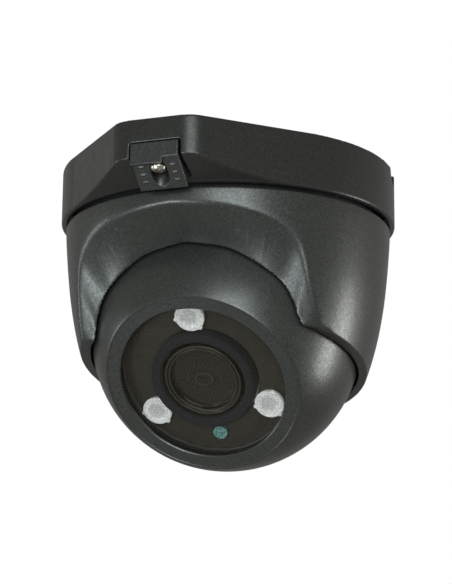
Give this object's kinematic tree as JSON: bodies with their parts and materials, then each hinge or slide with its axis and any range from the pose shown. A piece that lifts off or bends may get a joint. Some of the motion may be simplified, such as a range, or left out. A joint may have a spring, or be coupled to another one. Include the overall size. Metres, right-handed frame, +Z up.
{
  "type": "dome cctv camera",
  "caption": "Ceiling turret camera: mounting base with a locking clip, turning cover with a hood opening, and a tilting ball with window, lamps and adjustable lens.",
  "frame": {"origin": "centre of the ceiling plane, on the pan axis", "axes": "+Z up into the ceiling, -Y towards the front nose and where the lens faces, +X to the side with the cable notch"},
  "size_m": [0.1186, 0.1303, 0.1053],
  "materials": {
    "base_paint": "dark grey metallic paint, satin",
    "grey_paint": "dark grey metallic paint, satin",
    "nickel": "nickel plated",
    "steel": "zinc plated",
    "smoked_window": "smoked, polished",
    "clear_lens": "clear moulded optic",
    "lens_glass": "coated optical glass",
    "black_plastic": "matte black",
    "mask_plastic": "matte dark",
    "white_plastic": "natural white",
    "foam": "closed-cell foam",
    "rubber": "matte",
    "teal_filter": "tinted",
    "circuit_board": "green solder mask",
    "white_board": "white solder mask",
    "chip": "moulded black",
    "led_yellow": "phosphor",
    "anodised": "black anodised",
    "bracket_alloy": "die cast"
  },
  "bodies": {
    "base": {"mounting_base": "base_paint", "ceiling_gasket": "rubber"},
    "clip": {"lock_clip": "grey_paint"},
    "clip_screw": {"clip_screw": "nickel"},
    "turret": {"turret_cover": "grey_paint", "ball_retainer": "black_plastic", "friction_ring": "rubber", "turret_collar": "black_plastic", "cover_screw_1": "steel", "cover_screw_2": "steel", "cover_screw_3": "steel"},
    "gland": {"cable_gland": "black_plastic", "gland_nut": "black_plastic"},
    "ball": {"ball_front_shell": "grey_paint", "ball_rear_shell": "grey_paint", "shell_seal": "rubber", "board_frame": "black_plastic", "shell_screw_1": "steel", "shell_screw_2": "steel", "shell_screw_3": "steel", "shell_screw_4": "steel", "window": "smoked_window", "window_gasket": "rubber", "front_bracket": "bracket_alloy", "led_board": "white_board", "led_mask": "mask_plastic", "led_lens_1": "clear_lens", "led_lens_2": "clear_lens", "led_lens_3": "clear_lens", "led_lamp_1": "led_yellow", "led_lamp_2": "led_yellow", "led_lamp_3": "led_yellow", "photocell": "teal_filter", "lens_shroud": "foam", "lens_barrel": "anodised", "front_element": "lens_glass", "rear_element": "lens_glass", "lens_mount": "black_plastic", "sensor_board": "circuit_board", "image_sensor": "chip", "bracket_post_1": "bracket_alloy", "bracket_post_2": "bracket_alloy", "bracket_post_3": "bracket_alloy", "bracket_post_4": "bracket_alloy", "board_spacer_1": "bracket_alloy", "board_spacer_2": "bracket_alloy", "board_spacer_3": "bracket_alloy", "board_spacer_4": "bracket_alloy", "main_board": "circuit_board", "processor": "chip", "cable_connector": "white_plastic"},
    "zoom": {"zoom_ring": "anodised", "zoom_lock_screw": "steel"},
    "focus": {"focus_ring": "anodised", "focus_lock_screw": "steel"},
    "filter": {"ir_cut_filter": "teal_filter"}
  },
  "joints": [
    {"name": "pan", "type": "hinge", "parent": "base", "child": "turret", "pos_m": [0, 0, 0], "axis": [0, 0, 1], "range_deg": [-177, 177]},
    {"name": "tilt", "type": "hinge", "parent": "turret", "child": "gland", "pos_m": [0, 0, -0.0578], "axis": [1, 0, 0], "range_deg": [-24, 48]},
    {"name": "lens_rotation", "type": "hinge", "parent": "gland", "child": "ball", "pos_m": [0, 0, -0.0578], "axis": [0, -0.7431, -0.6691], "range_deg": [-175, 175]},
    {"name": "clip_screw_turn", "type": "hinge", "parent": "clip", "child": "clip_screw", "pos_m": [0, -0.067, -0.0156], "axis": [0, 0, -1], "range_deg": [0, 720]},
    {"name": "clip_drop", "type": "slide", "parent": "base", "child": "clip", "axis": [0, 0, -1], "range_m": [0, 0.0014]},
    {"name": "zoom_turn", "type": "hinge", "parent": "ball", "child": "zoom", "pos_m": [0, 0, -0.0578], "axis": [0, -0.7431, -0.6691], "range_deg": [-45, 45]},
    {"name": "focus_turn", "type": "hinge", "parent": "ball", "child": "focus", "pos_m": [0, 0, -0.0578], "axis": [0, -0.7431, -0.6691], "range_deg": [-45, 45]},
    {"name": "filter_shift", "type": "slide", "parent": "ball", "child": "filter", "axis": [1, 0, 0], "range_m": [0, 0.006]}
  ],
  "couplings": [
    {"joint": "clip_screw_turn", "follows": "clip_drop", "rad_per_m": 8970}
  ]
}
